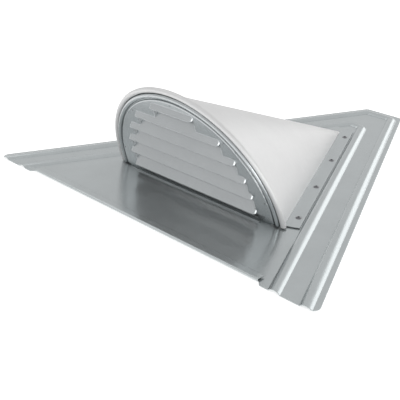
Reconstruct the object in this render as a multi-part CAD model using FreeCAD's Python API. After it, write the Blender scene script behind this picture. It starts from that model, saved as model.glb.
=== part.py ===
import FreeCAD, Part
import math
import os
from FreeCAD import Vector

# Half-round roof vent: flashing sheet, half-cone hood, stamped louver panel and bird screen.
# Frame: X to the right seen from the front, Y up the roof, Z away from the roof.
# Origin: middle of the flashing's outline, on its underside. All sizes in millimetres.

# Sheet and fit values
sheet = 0.8                   # thickness of every galvanised sheet
seal_thickness = 1.0          # butyl strip under the hood flanges
seal_inner_gap = 2.0          # fold line to the strip
seal_outer_inset = 1.5        # strip to the flange's free edge
seal_front_inset = 2.0        # strip to the flange's front end
seal_tip_gap = 8.0            # strip to the hood tip
rivet_hole_clearance = 0.1    # rivet hole radius minus shank radius
rim_foot_gap = 2.0            # rolled rims stop this far above the flashing

# Hood
hood_radius = 145.4           # outer radius of the skin at the face plane
hood_length = 309.4           # face line to the tip
arch_lift = 6.3               # straight leg below the half circle
face_lean_deg = 18.5          # the face leans over the flashing
skin_start_depth = 0.8        # the skin starts this far behind the face plane
skin_reach = 0.985            # share of the way to the tip that the skin is lofted
hollow_reach = 0.96           # and the hollow under it, which leaves the tip closed
fold_root = 1.2               # the flange reaches this far under the skin
rim_outset = 1.2              # centre line of the wired edge outside the skin
rim_forward = 0.5             # and forward of the face plane
rim_wire_radius = 2.7
flange_width = 19.0
flange_tail = 12.0            # flange left behind the tip
flange_front_cut = 3.0

# Flashing sheet
face_setback = 117.5          # front edge to the face line on the flashing
tip_margin = 118.6            # hood tip to the back edge
side_margin = 88.4            # fold line to the side edge, measured across
front_corner_radius = 9.0
back_corner_radius = 6.0
hem_end_inset = 84.0
hem_end_flare = 6.0
hem_setback = 4.5             # hem's front line behind the wing edge
hem_height = 3.8
hem_leg = 9.0
bead_width = 15.0
bead_height = 3.0
bead_root = 0.3               # a bead's section reaches this far into the sheet
bead_run_up = 5.0             # a bead's path starts this far in front of the flashing
outer_bead_side_inset = 15.6
outer_bead_back_inset = 14.5
outer_bead_corner = 11.0
inner_bead_gap = 1.5          # hood flange to the inner bead
inner_bead_tip_gap = 39.6     # hood tip to the bead's back run
inner_bead_corner = 12.0

# Air opening in the flashing
opening_front_y = 46.0        # from the face line
opening_tip_gap = 113.4       # back of the opening to the hood tip
opening_front_margin = 28.8   # fold line to the opening's corners, measured across
opening_back_margin = 16.3
opening_corner = 14.0
collar_height = 12.0
collar_flange = 9.0

# Rivets that hold the hood
rivets_per_side = 4
rivet_first_y = 26.0
rivet_tip_gap = 23.0          # last rivet to the hood tip
rivet_edge_distance = 11.5    # from the fold line
rivet_head_radius = 4.0
rivet_head_height = 1.6
rivet_shank_radius = 2.0
rivet_eye_radius = 1.2
rivet_eye_depth = 0.64        # the eye's floor below the seat

# Louver panel: rolled rim, valley, flat border, then the louvers
roll_gap = 0.7                # roll to the wired edge
roll_radius = 3.1
roll_forward = 1.9            # centre of the roll forward of the face plane
valley_forward = 1.7
valley_width = 1.6
border_bend = 1.8
border_width = 5.3
plate_forward = 4.2           # front of the flat border
panel_edge_depth = 2.0        # edge band that meets the hood skin
louver_count = 6
louver_first_lip = 13.2
louver_top_gap = 7.2          # highest lip to the top of the window
louver_tilt_deg = 45.0        # slat against the face plane
louver_reach = 10.0           # lip forward of the face plane
louver_end_inset = 16.1       # window radius to the circle through the lip ends
louver_end_rise = 15.4        # centre of that circle above the arch centre
louver_end_round = 4.0
louver_bend = 3.0             # outer radius where a slat passes through the border
nose_opening_drop = 1.0       # the hollow of a nose starts this far below its lip
foot_front = 10.5             # foot flange forward of the face line
foot_end_gap = 11.0           # window edge to the end of the foot flange
foot_edge_height = 1.6
foot_upstand = 4.6

# Bird screen and its clamps
wire_size = 0.7
mesh_pitch = 12.7
mesh_edge_gap = 0.5
mesh_slat_gap = 0.7
hoop_edge_gap = 0.2
hoop_lap = 8.0
hoop_rivet_inset = 2.4
hoop_rivet_shank = 0.9
hoop_rivet_head = 1.5
hoop_rivet_head_height = 0.8
hoop_rivet_angles = (12, 51, 90, 129, 168)
bar_end_gap = 28.4            # fold line to the end of the bar
bar_height = 12.0
bar_foot_depth = 17.0
bar_rivet_end = 37.0          # end of the bar to the first rivet
bar_rivet_depth = 10.54       # upright to the rivets
bar_rivet_count = 3

# Values that follow from the ones above
slope = hood_radius / hood_length
slant = math.atan(slope)
lean = math.radians(face_lean_deg)
tilt = math.radians(louver_tilt_deg)
base_half_width = hood_radius + slope * face_setback + side_margin
base_depth = face_setback + hood_length + tip_margin
front_y = -base_depth / 2
back_y = base_depth / 2
face_y = front_y + face_setback
tip_y = face_y + hood_length
base_top = sheet
flange_bottom = base_top + seal_thickness
tip_depth = hood_length * math.cos(lean)
tip_drop = -hood_length * math.sin(lean)
hem_half_width = base_half_width - hem_end_inset
rivet_pitch_y = (hood_length - rivet_first_y - rivet_tip_gap) / (rivets_per_side - 1)
rim_radius = hood_radius + rim_outset
rim_tube_radius = rim_wire_radius + sheet
roll_outer_radius = rim_radius - rim_tube_radius - roll_gap
roll_inner_radius = roll_outer_radius - 2 * roll_radius
valley_inner_radius = roll_inner_radius - valley_width
border_radius = valley_inner_radius - border_bend
window_radius = border_radius - border_width
plate_back = plate_forward - sheet
louver_pitch = (arch_lift + window_radius - louver_top_gap - louver_first_lip) / (louver_count - 1)
slat_crossing = (louver_reach - plate_forward) / math.tan(tilt)    # lip to where the slat meets the border
slat_back = louver_reach - louver_pitch * math.sin(tilt) - sheet * math.cos(tilt)
mesh_front = slat_back - mesh_slat_gap
mesh_back = mesh_front - 2 * wire_size
hoop_radius = border_radius - hoop_edge_gap
mesh_radius = hoop_radius - sheet - mesh_edge_gap
bar_half_width = hood_radius - bar_end_gap
foot_half_width = window_radius - foot_end_gap
far = 3 * base_depth                  # longer than anything it cuts
tiny = 1e-5                           # shorter than any real edge
leg_length = 0.4 * hood_radius        # straight legs, cut off later at the flashing
rivet_hole_radius = rivet_shank_radius + rivet_hole_clearance
bead_hollow_inset = 0.75 * sheet      # the hollow under a bead is this much narrower on each side
hem_y = front_y + hem_setback + hem_height / 2
edge_trim_depth = 10 * panel_edge_depth    # length of the cone that trims the panel's edge band


def to_face(shape):
    # Moves a shape drawn as (across, up the face, forward) onto the leaning face
    lean_turn = FreeCAD.Rotation(Vector(1, 0, 0), 90 + face_lean_deg)
    shape.Placement = FreeCAD.Placement(Vector(0, face_y, base_top), lean_turn) * shape.Placement
    return shape


def above(shape, height):
    # Keeps what lies above a level
    return shape.common(Part.makeBox(far, far, far, Vector(-far / 2, -far / 2, height)))


def fused(shapes):
    whole = shapes[0]
    for other in shapes[1:]:
        whole = whole.fuse(other)
    return whole.removeSplitter()


def face_of(edges):
    return Part.Face(Part.Wire(edges))


def rounded_polygon(points, radii, level=0.0):
    # Closed wire through the points, each corner rounded with its own radius
    count = len(points)
    starts, ends, middles = [], [], []
    for i in range(count):
        here = Vector(points[i][0], points[i][1], level)
        before = Vector(points[i - 1][0], points[i - 1][1], level)
        after = Vector(points[(i + 1) % count][0], points[(i + 1) % count][1], level)
        to_before = (before - here).normalize()
        to_after = (after - here).normalize()
        half = math.acos(max(-1.0, min(1.0, to_before.dot(to_after)))) / 2
        radius = radii[i]
        reach = radius / math.tan(half) if radius else 0.0
        starts.append(here + to_before * reach)
        ends.append(here + to_after * reach)
        if radius:
            centre_line = (to_before + to_after).normalize()
            middles.append(here + centre_line * (radius / math.sin(half) - radius))
        else:
            middles.append(None)
    edges = []
    for i in range(count):
        if middles[i] is not None:
            edges.append(Part.Arc(starts[i], middles[i], ends[i]).toShape())
        following = starts[(i + 1) % count]
        if (following - ends[i]).Length > tiny:
            edges.append(Part.LineSegment(ends[i], following).toShape())
    return Part.Wire(edges)


def arch_sweep(profile):
    # Carries a profile drawn as (radius, forward) round the arch and down both legs
    axis = Vector(0, arch_lift, 0)
    start = profile.translated(axis)
    arch = start.revolve(axis, Vector(0, 0, 1), 180)
    leg = start.extrude(Vector(0, -leg_length, 0))
    other = leg.mirror(Vector(0, 0, 0), Vector(1, 0, 0))
    return to_face(fused([arch, leg, other]))


def profile_from(points):
    # Polygon profile; a triple with a third entry "arc" is the middle of an arc
    edges = []
    i = 0
    count = len(points)
    while i < count:
        here = Vector(points[i][0], 0, points[i][1])
        nxt = points[(i + 1) % count]
        if len(nxt) == 3:
            end = points[(i + 2) % count]
            edges.append(Part.Arc(here, Vector(nxt[0], 0, nxt[1]), Vector(end[0], 0, end[1])).toShape())
            i += 2
        else:
            edges.append(Part.LineSegment(here, Vector(nxt[0], 0, nxt[1])).toShape())
            i += 1
    return face_of(edges)


def arch_wire(radius, depth):
    # Arch outline at a depth behind the face plane, shrunk towards the tip as the hood does
    k = (tip_depth - depth) / tip_depth
    centre_u = tip_drop + k * (arch_lift - tip_drop)
    low_u = tip_drop + k * (-leg_length - tip_drop)
    r = radius * k
    right = Vector(r, centre_u, -depth)
    left = Vector(-r, centre_u, -depth)
    top = Vector(0, centre_u + r, -depth)
    right_low = Vector(r, low_u, -depth)
    left_low = Vector(-r, low_u, -depth)
    return Part.Wire([
        Part.LineSegment(right_low, right).toShape(),
        Part.Arc(right, top, left).toShape(),
        Part.LineSegment(left, left_low).toShape(),
        Part.LineSegment(left_low, right_low).toShape(),
    ])


def hood_cone(radius, near, away):
    # Solid half cone between two depths; its sections all shrink to the hood's tip
    return to_face(Part.makeLoft([arch_wire(radius, near), arch_wire(radius, away)], True, True))


def flat_zone(radius, back, front):
    # Arch-shaped slice in face coordinates, not yet moved onto the face
    return Part.Face(arch_wire(radius, 0)).extrude(Vector(0, 0, front - back)).translated(
        Vector(0, 0, back))


def fold_x(y_from_face):
    # Half width of the hood's fold line on the flashing
    return slope * (hood_length - y_from_face)


def side_point(y_from_face, out):
    # Point a given distance outside the right-hand fold line
    return (fold_x(y_from_face) + out * math.cos(slant), y_from_face + face_y + out * math.sin(slant))


def rivet_places(side):
    places = []
    for i in range(rivets_per_side):
        x, y = side_point(rivet_first_y + i * rivet_pitch_y, rivet_edge_distance)
        places.append((side * x, y))
    return places


def bar_rivet_places():
    y = face_y - mesh_back / math.cos(lean) + bar_rivet_depth
    first = bar_rivet_end - bar_half_width
    step = -2 * first / (bar_rivet_count - 1)
    return [(first + i * step, y) for i in range(bar_rivet_count)]


def drilled(shape, places):
    # Rivet holes square to the flashing, right through a shape
    for x, y in places:
        shape = shape.cut(Part.makeCylinder(rivet_hole_radius, far, Vector(x, y, -far / 2)))
    return shape


def bead_path(out, y1, corner):
    # U-shaped centre line at a distance outside the fold lines: right side, back, left side
    y0 = front_y - bead_run_up
    x0 = fold_x(y0 - face_y) + out
    x1 = fold_x(y1 - face_y) + out
    turn = math.pi / 2 - slant
    reach = corner * math.tan(turn / 2)
    run = Vector(x1 - x0, y1 - y0, 0).normalize()
    a = Vector(x0, y0, 0)
    b = Vector(x1, y1, 0) - run * reach
    c = Vector(x1 - reach, y1, 0)
    to_b = run * -1
    inward = (to_b + Vector(-1, 0, 0)).normalize()
    mid = Vector(x1, y1, 0) + inward * (corner / math.cos(turn / 2) - corner)
    flip = lambda v: Vector(-v.x, v.y, v.z)
    return Part.Wire([
        Part.LineSegment(a, b).toShape(),
        Part.Arc(b, mid, c).toShape(),
        Part.LineSegment(c, flip(c)).toShape(),
        Part.Arc(flip(c), flip(mid), flip(b)).toShape(),
        Part.LineSegment(flip(b), flip(a)).toShape(),
    ]), a, run


def bead_solid(path, start, run, half_width, low, crown):
    # Rounded cap swept along a bead's centre line
    across = Vector(run.y, -run.x, 0)
    p1 = start + across * half_width + Vector(0, 0, low)
    p2 = start + Vector(0, 0, crown)
    p3 = start - across * half_width + Vector(0, 0, low)
    under = Vector(0, 0, -bead_root)
    profile = Part.Wire([
        Part.Arc(p1, p2, p3).toShape(),
        Part.LineSegment(p3, p3 + under).toShape(),
        Part.LineSegment(p3 + under, p1 + under).toShape(),
        Part.LineSegment(p1 + under, p1).toShape(),
    ])
    return path.makePipeShell([profile], True, False)


def base_outline():
    # Trapezoid outline with the front middle part cut back for the hem
    half = base_half_width
    back_half = half - slope * base_depth
    points = [
        (half, front_y), (back_half, back_y), (-back_half, back_y), (-half, front_y),
        (-hem_half_width - hem_end_flare, front_y), (-hem_half_width, hem_y),
        (hem_half_width, hem_y), (hem_half_width + hem_end_flare, front_y),
    ]
    flare_round = hem_end_flare / 2
    radii = [front_corner_radius, back_corner_radius, back_corner_radius, front_corner_radius,
             flare_round, 0, 0, flare_round]
    return rounded_polygon(points, radii)


def base_opening(grow):
    # Outline of the air opening, moved outwards
    y0 = face_y + opening_front_y
    y1 = tip_y - opening_tip_gap
    w0 = fold_x(opening_front_y) - opening_front_margin
    w1 = fold_x(hood_length - opening_tip_gap) - opening_back_margin
    front, back = w0 + grow, w1 + grow
    points = [(front, y0 - grow), (back, y1 + grow), (-back, y1 + grow), (-front, y0 - grow)]
    return rounded_polygon(points, [opening_corner + grow] * 4)


def front_hem():
    # Sheet folded up and back on itself along the front edge
    centre = Vector(-hem_half_width, hem_y, hem_height / 2)
    outer = hem_height / 2
    inner = outer - sheet
    run = Vector(2 * hem_half_width, 0, 0)
    edges = [
        Part.Arc(centre + Vector(0, 0, -outer), centre + Vector(0, -outer, 0), centre + Vector(0, 0, outer)),
        Part.LineSegment(centre + Vector(0, 0, outer), centre + Vector(0, hem_leg, outer)),
        Part.LineSegment(centre + Vector(0, hem_leg, outer), centre + Vector(0, hem_leg, inner)),
        Part.LineSegment(centre + Vector(0, hem_leg, inner), centre + Vector(0, 0, inner)),
        Part.Arc(centre + Vector(0, 0, inner), centre + Vector(0, -inner, 0), centre + Vector(0, 0, -inner)),
        Part.LineSegment(centre + Vector(0, 0, -inner), centre + Vector(0, 0, -outer)),
    ]
    return face_of([e.toShape() for e in edges]).extrude(run)


def make_base_flashing():
    outline = Part.Face(base_outline())
    plate = outline.extrude(Vector(0, 0, sheet))
    stock = outline.extrude(Vector(0, 0, far)).translated(Vector(0, 0, -far / 2))
    beads, hollows = [], []
    inner_out = (flange_width + inner_bead_gap + bead_width / 2) / math.cos(slant)
    outer_out = side_margin - outer_bead_side_inset
    for out, back_run_y, corner in (
        (outer_out, back_y - outer_bead_back_inset, outer_bead_corner),
        (inner_out, tip_y + inner_bead_tip_gap, inner_bead_corner),
    ):
        path, start, run = bead_path(out, back_run_y, corner)
        beads.append(bead_solid(path, start, run, bead_width / 2, sheet, sheet + bead_height).common(stock))
        hollows.append(bead_solid(path, start, run, bead_width / 2 - bead_hollow_inset, 0, bead_height))
    body = fused([plate] + beads + [front_hem()])
    for hollow in hollows:
        body = body.cut(hollow)
    body = body.cut(Part.Face(base_opening(0)).extrude(Vector(0, 0, far)))
    return drilled(body, rivet_places(1) + rivet_places(-1) + bar_rivet_places())


def make_throat_collar():
    # Angle ring on the edge of the air opening: flange on the flashing, wall turned up
    wall = Part.Face(base_opening(sheet)).extrude(Vector(0, 0, collar_height))
    flange = Part.Face(base_opening(collar_flange)).extrude(Vector(0, 0, sheet))
    hole = Part.Face(base_opening(0)).extrude(Vector(0, 0, far)).translated(Vector(0, 0, -far / 2))
    return fused([wall, flange]).cut(hole).translated(Vector(0, 0, base_top))


def side_strip(side, inner, outer, low, high, front, back):
    # Flat strip that follows the fold line on one side
    a = side_point(front, outer)
    b = side_point(back, outer)
    c = side_point(back, inner)
    d = side_point(front, inner)
    points = [Vector(side * p[0], p[1], low) for p in (a, b, c, d)]
    return Part.Face(Part.makePolygon(points + [points[0]])).extrude(Vector(0, 0, high - low))


def rim_circle(radius):
    return Part.Face(Part.Wire(Part.makeCircle(
        radius, Vector(rim_radius, 0, rim_forward), Vector(0, 1, 0))))


def make_rim_wire():
    return above(arch_sweep(rim_circle(rim_wire_radius)), base_top + rim_foot_gap)


def make_hood_shell():
    outer = hood_cone(hood_radius, skin_start_depth, tip_depth * skin_reach)
    inner = hood_cone(hood_radius - sheet, 0, tip_depth * hollow_reach)
    skin = above(outer.cut(inner), flange_bottom)
    rim = above(arch_sweep(rim_circle(rim_tube_radius)), base_top + rim_foot_gap)
    flange_top = flange_bottom + sheet
    flanges = []
    for side in (1, -1):
        flange = side_strip(side, -fold_root, flange_width, flange_bottom, flange_top,
                            flange_front_cut, hood_length + flange_tail)
        flanges.append(flange)
    tail_limit = Part.makeBox(far, tip_y + flange_tail + far, far, Vector(-far / 2, -far, -far / 2))
    flanges = [f.common(tail_limit) for f in flanges]
    shell = fused([skin] + flanges).cut(above(inner, 0))
    shell = fused([shell, rim]).cut(make_rim_wire())
    return drilled(shell, rivet_places(1) + rivet_places(-1))


def make_seal_strip(side):
    strip = side_strip(side, seal_inner_gap, flange_width - seal_outer_inset, base_top, flange_bottom,
                       flange_front_cut + seal_front_inset, hood_length - seal_tip_gap)
    return drilled(strip, rivet_places(side))


def rivet(x, y, seat, shank_radius, head_radius, head_height, eye):
    # Domed rivet seated on a sheet, its shank flush with the underside of the flashing
    rise = (head_radius ** 2 + head_height ** 2) / (2 * head_height)
    ball = Part.makeSphere(rise, Vector(0, 0, head_height - rise))
    head = ball.common(Part.makeCylinder(2 * head_radius, head_height))
    body = head.translated(Vector(x, y, seat)).fuse(Part.makeCylinder(shank_radius, seat, Vector(x, y, 0)))
    if eye:
        body = body.cut(Part.makeCylinder(eye, 2 * head_height, Vector(x, y, seat - rivet_eye_depth)))
    return body.removeSplitter()


def make_flange_rivets(side):
    seat = flange_bottom + sheet
    return Part.makeCompound([
        rivet(x, y, seat, rivet_shank_radius, rivet_head_radius, rivet_head_height, rivet_eye_radius)
        for x, y in rivet_places(side)
    ])


def panel_rim_profile():
    # Rolled rim, valley and the bend up to the flat border
    mid = roll_outer_radius - roll_radius
    thin = roll_radius - sheet
    bend_n = plate_forward - border_bend
    outer_turn = border_bend * math.sqrt(0.5)
    inner_turn = (border_bend - sheet) * math.sqrt(0.5)
    end = window_radius + sheet
    return profile_from([
        (roll_outer_radius, -panel_edge_depth),
        (roll_outer_radius, roll_forward), (mid, roll_forward + roll_radius, "arc"),
        (roll_inner_radius, roll_forward),
        (roll_inner_radius, valley_forward),
        (valley_inner_radius, valley_forward),
        (valley_inner_radius, bend_n), (border_radius + outer_turn, bend_n + outer_turn, "arc"),
        (border_radius, plate_forward),
        (end, plate_forward),
        (end, plate_back),
        (border_radius, plate_back), (border_radius + inner_turn, bend_n + inner_turn, "arc"),
        (valley_inner_radius - sheet, bend_n),
        (valley_inner_radius - sheet, valley_forward - sheet),
        (roll_inner_radius + sheet, valley_forward - sheet),
        (roll_inner_radius + sheet, roll_forward), (mid, roll_forward + thin, "arc"),
        (mid + thin, roll_forward),
        (mid + thin, -panel_edge_depth),
    ])


def louver_lip(i):
    return louver_first_lip + i * louver_pitch


def louver_half_width(i):
    # Half width at the lip; the lip ends lie on one circle
    rise = louver_lip(i) - arch_lift - louver_end_rise
    return math.sqrt((window_radius - louver_end_inset) ** 2 - rise ** 2)


def across(points, half_width):
    # Prism of a section drawn as (up, forward), centred across the face
    corners = [Vector(-half_width, u, n) for u, n in points]
    section = Part.Face(Part.makePolygon(corners + [corners[0]]))
    return section.extrude(Vector(2 * half_width, 0, 0))


def louver_nose(i, inset):
    # Solid under a slat's front half with its two ends rounded over, or the hollow in it
    lip = louver_lip(i) - (nose_opening_drop if inset else 0)
    top = louver_reach + (louver_lip(i) - lip) * math.tan(tilt) - inset / math.cos(tilt)
    low = plate_back - louver_reach
    far_u = lip + (top - low) / math.tan(tilt)
    body = across([(lip, top), (far_u, low), (lip, low)], louver_half_width(i) - inset)
    ends = [edge for edge in body.Edges
            if edge.BoundBox.XLength < tiny and min(edge.BoundBox.YLength, edge.BoundBox.ZLength) > tiny]
    return body.makeFillet(louver_end_round - inset, ends)


def slat_profile(i):
    # Border tooth beside the nose, the bend, and the slat's back half
    lip = louver_lip(i)
    cross = lip + slat_crossing
    tangent = louver_bend * math.tan(tilt / 2)
    centre = (cross - tangent, plate_forward - louver_bend)
    top = lip + louver_pitch * math.cos(tilt)
    top_n = louver_reach - louver_pitch * math.sin(tilt)

    def bent(radius, angle):
        return Vector(-far, centre[0] + radius * math.sin(angle), centre[1] + radius * math.cos(angle))

    inner = louver_bend - sheet
    points = [
        Vector(-far, lip, plate_forward), bent(louver_bend, 0), bent(louver_bend, tilt),
        Vector(-far, top, top_n),
        Vector(-far, top - sheet * math.sin(tilt), top_n - sheet * math.cos(tilt)),
        bent(inner, tilt), bent(inner, 0), Vector(-far, lip, plate_back),
    ]
    edges = []
    for k in range(len(points)):
        here, following = points[k], points[(k + 1) % len(points)]
        if k == 1:
            edges.append(Part.Arc(here, bent(louver_bend, tilt / 2), following).toShape())
        elif k == 5:
            edges.append(Part.Arc(here, bent(inner, tilt / 2), following).toShape())
        else:
            edges.append(Part.LineSegment(here, following).toShape())
    return face_of(edges).extrude(Vector(2 * far, 0, 0))


def slat_cheeks(i):
    # Walls that close the ends of a slat's back half against the border
    lip = louver_lip(i)
    cross = lip + slat_crossing
    top = lip + louver_pitch * math.cos(tilt) - sheet * math.sin(tilt)
    thick = sheet / math.cos(tilt)
    top_n = louver_reach - (top - lip) * math.tan(tilt) - thick
    outline = [(cross, plate_forward), (top, plate_forward), (top, top_n), (cross, plate_forward - thick)]
    return across(outline, hood_radius)


def make_louver_panel(hood):
    rim = above(arch_sweep(panel_rim_profile()), base_top + rim_foot_gap)
    behind = slat_back - sheet
    reach = window_radius + sheet
    plate = flat_zone(reach + sheet, plate_back, plate_forward)
    for i in range(louver_count):
        # Slot behind each nose, down to the slat below it or to the foot
        low = louver_lip(i - 1) + slat_crossing if i else foot_upstand
        lip = louver_lip(i)
        plate = plate.cut(across([(low, behind), (lip, behind), (lip, louver_reach), (low, louver_reach)],
                                 louver_half_width(i) - sheet))
    wide = flat_zone(reach, behind, plate_forward)
    ring = wide.cut(flat_zone(window_radius, behind, plate_forward))
    front_side = Part.makeBox(far, far, far, Vector(-far / 2, -far / 2, plate_back))
    pieces = [plate]
    for i in range(louver_count):
        pieces.append(louver_nose(i, 0.0).common(front_side))
        if i < louver_count - 1:
            pieces.append(slat_profile(i).common(wide))
            pieces.append(slat_cheeks(i).common(ring))
    body = fused(pieces)
    for i in range(louver_count):
        body = body.cut(louver_nose(i, sheet))
    body = above(to_face(body), base_top)

    # Edge band from the rolled rim out to the inside of the hood skin
    slab = to_face(flat_zone(hood_radius + rim_tube_radius, -panel_edge_depth, sheet - panel_edge_depth))
    core = to_face(flat_zone(roll_outer_radius - sheet, -panel_edge_depth - sheet, sheet))
    inner = hood_cone(hood_radius - sheet, 0, edge_trim_depth)
    edge = above(slab.common(inner).cut(core), base_top + rim_foot_gap).cut(hood).cut(make_rim_wire())
    foot_back = face_y - plate_back / math.cos(lean)
    foot_y = face_y - foot_front
    foot = Part.makeBox(2 * foot_half_width, foot_back - foot_y, sheet,
                        Vector(-foot_half_width, foot_y, base_top))
    foot_edge = Part.makeBox(2 * foot_half_width, sheet, foot_edge_height,
                             Vector(-foot_half_width, foot_y, base_top))
    panel = fused([body, rim, edge, foot, foot_edge])
    for angle in hoop_rivet_angles:
        panel = panel.cut(hoop_rivet_tool(angle, hoop_rivet_shank + rivet_hole_clearance))
    return panel


def make_screen_mesh():
    # Welded wire mesh: upright wires in front, cross wires behind them
    wires = []
    count = int(mesh_radius / mesh_pitch)
    low = -2 * rim_foot_gap
    for i in range(-count, count + 1):
        x = i * mesh_pitch
        top = arch_lift + math.sqrt(mesh_radius ** 2 - x ** 2)
        wires.append(Part.makeBox(wire_size, top - low, wire_size,
                                  Vector(x - wire_size / 2, low, mesh_front - wire_size)))
    rows = int((mesh_radius + arch_lift) / mesh_pitch)
    for i in range(rows + 1):
        u = arch_lift + i * mesh_pitch
        if u - arch_lift >= mesh_radius:
            break
        half = math.sqrt(mesh_radius ** 2 - (u - arch_lift) ** 2)
        wires.append(Part.makeBox(2 * half, wire_size, wire_size,
                                  Vector(-half, u - wire_size / 2, mesh_back)))
    return Part.makeCompound([above(to_face(w), base_top + wire_size / 2) for w in wires])


def make_screen_hoop():
    # Channel ring: front flange under the border, back flange behind the mesh
    wall = hoop_radius - sheet
    front_edge = window_radius + sheet + mesh_edge_gap / 2
    back_edge = hoop_radius - hoop_lap
    ring = profile_from([
        (front_edge, plate_back), (hoop_radius, plate_back),
        (hoop_radius, mesh_back - sheet), (back_edge, mesh_back - sheet),
        (back_edge, mesh_back), (wall, mesh_back),
        (wall, plate_back - sheet), (front_edge, plate_back - sheet),
    ])
    hoop = above(arch_sweep(ring), base_top + rim_foot_gap)
    for angle in hoop_rivet_angles:
        hoop = hoop.cut(hoop_rivet_tool(angle, hoop_rivet_shank + rivet_hole_clearance))
    return hoop


def hoop_rivet_point(angle):
    a = math.radians(angle)
    radius = hoop_radius - hoop_rivet_inset
    return radius * math.cos(a), arch_lift + radius * math.sin(a)


def hoop_rivet_tool(angle, radius):
    x, u = hoop_rivet_point(angle)
    low = plate_back - sheet - hoop_rivet_head_height
    return to_face(Part.makeCylinder(radius, plate_forward - low, Vector(x, u, low)))


def make_hoop_rivets():
    rivets = []
    seat = plate_back - sheet
    for angle in hoop_rivet_angles:
        x, u = hoop_rivet_point(angle)
        head = Part.makeCylinder(hoop_rivet_head, hoop_rivet_head_height,
                                 Vector(x, u, seat - hoop_rivet_head_height))
        shank = Part.makeCylinder(hoop_rivet_shank, plate_forward - seat, Vector(x, u, seat))
        rivets.append(to_face(head.fuse(shank).removeSplitter()))
    return Part.makeCompound(rivets)


def make_screen_bar():
    # Bent strip: foot on the flashing, upright pressed against the mesh
    below = bar_height + bar_foot_depth
    upright = to_face(Part.makeBox(2 * bar_half_width, below, sheet,
                                   Vector(-bar_half_width, bar_height - below, mesh_back - sheet)))
    front = face_y - mesh_back / math.cos(lean)
    foot = Part.makeBox(2 * bar_half_width, bar_foot_depth, sheet,
                        Vector(-bar_half_width, front, base_top))
    bar = fused([above(upright, base_top), foot])
    return drilled(bar, bar_rivet_places())


def make_bar_rivets():
    seat = base_top + sheet
    return Part.makeCompound([
        rivet(x, y, seat, rivet_shank_radius, rivet_head_radius, rivet_head_height, 0)
        for x, y in bar_rivet_places()
    ])


def main():
    os.makedirs("parts", exist_ok=True)
    hood = make_hood_shell()
    nodes = {
        "base_flashing": make_base_flashing(),
        "throat_collar": make_throat_collar(),
        "hood_shell": hood,
        "rim_wire": make_rim_wire(),
        "louver_panel": make_louver_panel(hood),
        "screen_mesh": make_screen_mesh(),
        "screen_hoop": make_screen_hoop(),
        "screen_hoop_rivets": make_hoop_rivets(),
        "screen_bar": make_screen_bar(),
        "screen_bar_rivets": make_bar_rivets(),
        "flange_rivets_right": make_flange_rivets(1),
        "flange_rivets_left": make_flange_rivets(-1),
        "seal_strip_right": make_seal_strip(1),
        "seal_strip_left": make_seal_strip(-1),
    }
    for name, shape in nodes.items():
        box = shape.BoundBox
        print(name, "valid", shape.isValid(), "solids", len(shape.Solids), "volume", round(shape.Volume, 1),
              "x", round(box.XMin, 1), round(box.XMax, 1), "y", round(box.YMin, 1), round(box.YMax, 1),
              "z", round(box.ZMin, 2), round(box.ZMax, 2))
        shape.exportStep("parts/" + name + ".step")


main()
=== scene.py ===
import bpy
import math
from mathutils import Matrix, Vector


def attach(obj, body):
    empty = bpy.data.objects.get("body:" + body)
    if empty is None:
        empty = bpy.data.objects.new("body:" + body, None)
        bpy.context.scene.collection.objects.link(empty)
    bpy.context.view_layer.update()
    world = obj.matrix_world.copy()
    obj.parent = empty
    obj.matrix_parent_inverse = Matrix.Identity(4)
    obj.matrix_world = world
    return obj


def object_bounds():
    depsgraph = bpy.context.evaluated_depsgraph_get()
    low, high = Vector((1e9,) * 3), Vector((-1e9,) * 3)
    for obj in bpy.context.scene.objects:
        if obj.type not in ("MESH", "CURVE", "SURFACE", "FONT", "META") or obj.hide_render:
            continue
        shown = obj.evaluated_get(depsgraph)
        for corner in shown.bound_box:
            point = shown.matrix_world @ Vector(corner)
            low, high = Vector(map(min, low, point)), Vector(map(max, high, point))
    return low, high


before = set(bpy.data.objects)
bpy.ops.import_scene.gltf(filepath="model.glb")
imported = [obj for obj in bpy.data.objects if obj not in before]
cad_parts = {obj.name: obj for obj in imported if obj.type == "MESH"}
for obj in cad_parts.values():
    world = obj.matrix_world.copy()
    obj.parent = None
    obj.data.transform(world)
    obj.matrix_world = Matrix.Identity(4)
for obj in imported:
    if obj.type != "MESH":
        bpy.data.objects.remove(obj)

cad_low, cad_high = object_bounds()

# Half-round roof vent: materials, camera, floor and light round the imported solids.
# Sizes are in metres, in the part's own frame.

# Camera solved from the photograph's corners, beads, fold line and arch
sensor_mm = 36.0
lens_mm = 73.23
camera_place = (0.6878, -0.8297, 0.4502)
camera_right = (0.7023, 0.7119, 0.0)
camera_view = (-0.6419, 0.6332, -0.4325)
clip_near, clip_far = 0.01, 150.0

# Leaning louver face and its slots, with the sizes of the part's source
sheet = 0.0008
face_y = -0.15525             # face line on the flashing
face_lean = math.radians(18.5)
flange_limit = 0.0027         # the hood's flanges lie below this height
louver_count = 6
louver_first_lip = 0.0132
louver_pitch = 0.02268
louver_reach = 0.01           # lip forward of the face plane
plate_front = 0.0042          # front of the flat border
lip_circle_radius = 0.1114    # circle through the ends of the lips
lip_circle_up = 0.0217

# Closing cheek at a slot's end: a right triangle behind the border's front
cheek_size = 0.0112
cheek_toe = 0.0003            # reaches this far below the slat's crossing
cheek_setback = 0.0001
cheek_outside = 0.00005       # past the slot's end
cheek_inside = 0.0005         # and into the slot

# Zinc surface
cloud_scale = 22.0
spangle_scale = 160.0
spangle_share = 0.18
# Painted shade: ambient occlusion darkens the zinc's colour towards this tone in corners and recesses
shade_tone = (0.56, 0.58, 0.58)    # multiplies the colour in the deepest corners
shade_range = 0.09
shade_distance = 0.02
edge_radius = 0.0008
wave_height = 0.004
grain_height = 0.0004
grain_strength = 0.03
grain_along, grain_across = 6.0, 240.0

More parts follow.
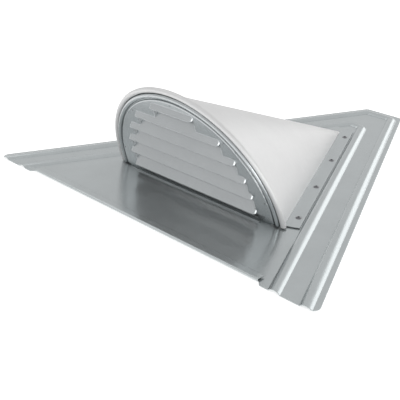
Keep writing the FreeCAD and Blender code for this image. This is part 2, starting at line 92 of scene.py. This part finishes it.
# Studio
world_glow = 0.71
floor_half = 50.0
floor_gap = 0.0005            # floor below the part's underside
floor_glow = 0.6
white = (1, 1, 1, 1)


def camera():
    data = bpy.data.cameras.new("camera")
    data.sensor_width = sensor_mm
    data.sensor_fit = "HORIZONTAL"
    data.lens = lens_mm
    data.clip_start = clip_near
    data.clip_end = clip_far
    cam = bpy.data.objects.new("camera", data)
    bpy.context.scene.collection.objects.link(cam)
    right = Vector(camera_right).normalized()
    view = Vector(camera_view).normalized()
    up = right.cross(view).normalized()
    right = view.cross(up).normalized()
    turn = Matrix((right, up, -view)).transposed().to_4x4()
    cam.matrix_world = Matrix.Translation(camera_place) @ turn
    bpy.context.scene.camera = cam


class Nodes:
    # Adds and links the shader nodes of one new material
    def __init__(self, name):
        self.material = bpy.data.materials.new(name)
        self.material.use_nodes = True
        self.tree = self.material.node_tree
        self.tree.nodes.clear()
        out = self.add("OutputMaterial")
        self.shader = self.add("BsdfPrincipled")
        self.link(self.shader.outputs["BSDF"], out.inputs["Surface"])
        self.place = self.add("TexCoord").outputs["Object"]

    def add(self, kind, **values):
        # A value is a setting of the node, or else one of its inputs
        node = self.tree.nodes.new("ShaderNode" + kind)
        for key, value in values.items():
            if hasattr(node, key):
                setattr(node, key, value)
            else:
                node.inputs[key.replace("_", " ")].default_value = value
        return node

    def link(self, output, socket):
        self.tree.links.new(output, socket)

    def noise(self, place, **values):
        node = self.add("TexNoise", **values)
        self.link(place, node.inputs["Vector"])
        return node.outputs["Fac"]

    def ramp(self, factor, low, low_colour, high, high_colour):
        # Colour that runs from one tone to the other between two levels of the factor
        node = self.add("ValToRGB")
        ends = ((low, low_colour), (high, high_colour))
        for element, (level, colour) in zip(node.color_ramp.elements, ends):
            element.position = level
            element.color = (*colour, 1.0)
        self.link(factor, node.inputs["Fac"])
        return node.outputs["Color"]

    def roughness(self, factor, **levels):
        node = self.add("MapRange", **levels)
        self.link(factor, node.inputs["Value"])
        self.link(node.outputs["Result"], self.shader.inputs["Roughness"])

    def bump(self, height, normal, strength, distance):
        node = self.add("Bump", Strength=strength, Distance=distance)
        self.link(height, node.inputs["Height"])
        self.link(normal, node.inputs["Normal"])
        return node.outputs["Normal"]


def zinc_colour(n, mottle, tint, painted_shade_level):
    # Cloudy tone, with painted shade: ambient occlusion darkens the colour in the inner corners
    tone = n.ramp(mottle, 0.35, [c * 0.95 for c in tint], 0.72, tint)
    corner = n.add("AmbientOcclusion", Distance=shade_distance, samples=8)
    shade = n.ramp(corner.outputs["AO"], painted_shade_level, shade_tone, painted_shade_level + shade_range, (1, 1, 1))
    both = n.add("Mix", data_type="RGBA", blend_type="MULTIPLY", Factor=1.0)
    n.link(tone, both.inputs["A"])
    n.link(shade, both.inputs["B"])
    n.link(both.outputs["Result"], n.shader.inputs["Base Color"])


def zinc_relief(n, waves, grain_axis):
    # Rounded edges, slight waves in the sheet and fine rolling grain
    scale = tuple(grain_along if axis == grain_axis else grain_across for axis in "xyz")
    stretch = n.add("Mapping", Scale=scale)
    n.link(n.place, stretch.inputs["Vector"])
    grain = n.noise(stretch.outputs["Vector"], Scale=3.0, Detail=3.0)
    wave = n.noise(n.place, Scale=9.0, Detail=1.0)
    edge = n.add("Bevel", Radius=edge_radius, samples=4)
    wavy = n.bump(wave, edge.outputs["Normal"], waves, wave_height)
    n.link(n.bump(grain, wavy, grain_strength, grain_height), n.shader.inputs["Normal"])


def galvanised(name, tint, rough, metal, waves, painted_shade_level, grain_axis="x"):
    # Zinc sheet with clouds, faint spangle and painted shade in its corners
    n = Nodes(name)
    n.shader.inputs["Metallic"].default_value = metal
    spangle = n.add("TexVoronoi", Scale=spangle_scale)
    n.link(n.place, spangle.inputs["Vector"])
    mottle = n.add("Math", operation="MULTIPLY_ADD")
    n.link(spangle.outputs["Distance"], mottle.inputs[0])
    mottle.inputs[1].default_value = spangle_share
    n.link(n.noise(n.place, Scale=cloud_scale, Detail=4.0), mottle.inputs[2])
    zinc_colour(n, mottle.outputs[0], tint, painted_shade_level)
    n.roughness(mottle.outputs[0], From_Min=0.3, From_Max=0.75, To_Min=rough[0], To_Max=rough[1])
    zinc_relief(n, waves, grain_axis)
    return n.material


def plain(name, colour, metal, rough, glow=0.0):
    # One tone with fine speckle
    n = Nodes(name)
    n.shader.inputs["Metallic"].default_value = metal
    speckle = n.noise(n.place, Scale=400.0)
    tone = n.ramp(speckle, 0.3, [c * 0.8 for c in colour], 0.7, colour)
    n.link(tone, n.shader.inputs["Base Color"])
    n.roughness(speckle, To_Min=rough * 0.8, To_Max=min(1.0, rough * 1.2))
    if glow:
        n.shader.inputs["Emission Color"].default_value = white
        n.shader.inputs["Emission Strength"].default_value = glow
    return n.material


def paint(material, *nodes):
    for node in nodes:
        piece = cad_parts[node]
        piece.data.materials.clear()
        piece.data.materials.append(material)


def dress():
    # The last number of each zinc is the occlusion level below which painted shade darkens its colour
    flashing = galvanised("flashing_zinc", (0.545, 0.58, 0.588), (0.16, 0.22), 0.68, 0.03, 0.3)
    hood = galvanised("hood_zinc", (0.73, 0.73, 0.73), (0.46, 0.52), 0.5, 0.03, 0.15, "y")
    # Painted light: the slot-end cheeks, part of the louver panel's sheet, take a lighter and less
    # shaded copy of the face's zinc
    cheek = galvanised("cheek_painted_light_zinc", (0.6, 0.62, 0.63), (0.3, 0.36), 0.6, 0.02, 0.05)
    face = galvanised("face_zinc", (0.54, 0.565, 0.575), (0.2, 0.26), 0.82, 0.04, 0.44)
    inner = galvanised("inner_zinc", (0.5, 0.51, 0.52), (0.35, 0.5), 0.85, 0.05, 0.2)
    wire = plain("wire_zinc", (0.55, 0.56, 0.57), 1.0, 0.4)
    rivet = plain("rivet_steel", (0.25, 0.25, 0.26), 1.0, 0.35)
    butyl = plain("butyl", (0.22, 0.22, 0.225), 0.0, 0.7)
    paint(flashing, "base_flashing")
    paint(hood, "hood_shell")
    paint(face, "louver_panel")
    paint(inner, "throat_collar", "screen_hoop", "screen_bar")
    paint(wire, "rim_wire", "screen_mesh")
    paint(rivet, "screen_hoop_rivets", "screen_bar_rivets", "flange_rivets_right", "flange_rivets_left")
    paint(butyl, "seal_strip_right", "seal_strip_left")
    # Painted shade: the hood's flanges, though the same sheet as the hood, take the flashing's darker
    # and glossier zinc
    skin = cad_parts["hood_shell"].data
    skin.materials.append(flashing)
    for polygon in skin.polygons:
        if polygon.center.z < flange_limit:
            polygon.material_index = 1
    louver_end_cheeks(cheek)


def on_face(x, up, forward):
    # Point on the leaning face, from its distances across, up and forward
    y = face_y - up * math.sin(face_lean) - forward * math.cos(face_lean)
    z = sheet + up * math.cos(face_lean) - forward * math.sin(face_lean)
    return (x, y, z)


def louver_end_cheeks(material):
    # Small closing cheek at both ends of every slot above a slat
    front = plate_front - cheek_setback
    for side, name in ((-1, "left"), (1, "right")):
        points, faces = [], []
        for i in range(1, louver_count):
            rise = louver_first_lip + i * louver_pitch - lip_circle_up
            slot_half = math.sqrt(lip_circle_radius ** 2 - rise ** 2) - sheet
            crossing = louver_first_lip + (i - 1) * louver_pitch + louver_reach - plate_front
            top = crossing + cheek_size
            outline = [(crossing - cheek_toe, front), (top, front - cheek_size), (top, front)]
            near = [len(points) + k for k in range(3)]
            away = [k + 3 for k in near]
            for x in (slot_half + cheek_outside, slot_half - cheek_inside):
                points.extend(on_face(side * x, up, forward) for up, forward in outline)
            shapes = [near, away[::-1]]
            for k in range(3):
                following = (k + 1) % 3
                shapes.append([near[following], near[k], away[k], away[following]])
            faces.extend(shape if side < 0 else shape[::-1] for shape in shapes)
        mesh = bpy.data.meshes.new("louver_end_cheeks")
        mesh.from_pydata(points, [], faces)
        mesh.materials.append(material)
        piece = bpy.data.objects.new("louver_end_cheeks_" + name, mesh)
        bpy.context.scene.collection.objects.link(piece)
        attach(piece, "root")


def softbox(name, place, size, glow):
    # Area light of a given brightness, turned to the part
    data = bpy.data.lights.new(name, "AREA")
    data.shape = "RECTANGLE"
    data.size, data.size_y = size
    data.energy = glow * math.pi * size[0] * size[1]
    light = bpy.data.objects.new(name, data)
    light.location = place
    light.rotation_euler = (-Vector(place)).to_track_quat("-Z", "Y").to_euler()
    bpy.context.scene.collection.objects.link(light)


def studio():
    bpy.context.scene.view_settings.view_transform = "Standard"
    world = bpy.data.worlds.new("studio")
    bpy.context.scene.world = world
    world.use_nodes = True
    background = world.node_tree.nodes["Background"]
    background.inputs["Color"].default_value = white
    background.inputs["Strength"].default_value = world_glow
    softbox("back", (0.3, 2.6, 1.05), (2.6, 1.0), 1.2)
    softbox("right", (2.5, -0.9, 0.35), (2.6, 0.6), 3.0)
    softbox("left", (-1.6, -0.1, 1.75), (1.5, 0.8), 0.85)


def paper_floor():
    mesh = bpy.data.meshes.new("floor")
    s = floor_half
    z = cad_low[2] - floor_gap
    mesh.from_pydata([(-s, -s, z), (s, -s, z), (s, s, z), (-s, s, z)], [], [(0, 1, 2, 3)])
    mesh.materials.append(plain("floor_paper", (0.93, 0.93, 0.93), 0.0, 0.9, floor_glow))
    floor = bpy.data.objects.new("floor", mesh)
    bpy.context.scene.collection.objects.link(floor)


camera()
dress()
studio()
paper_floor()
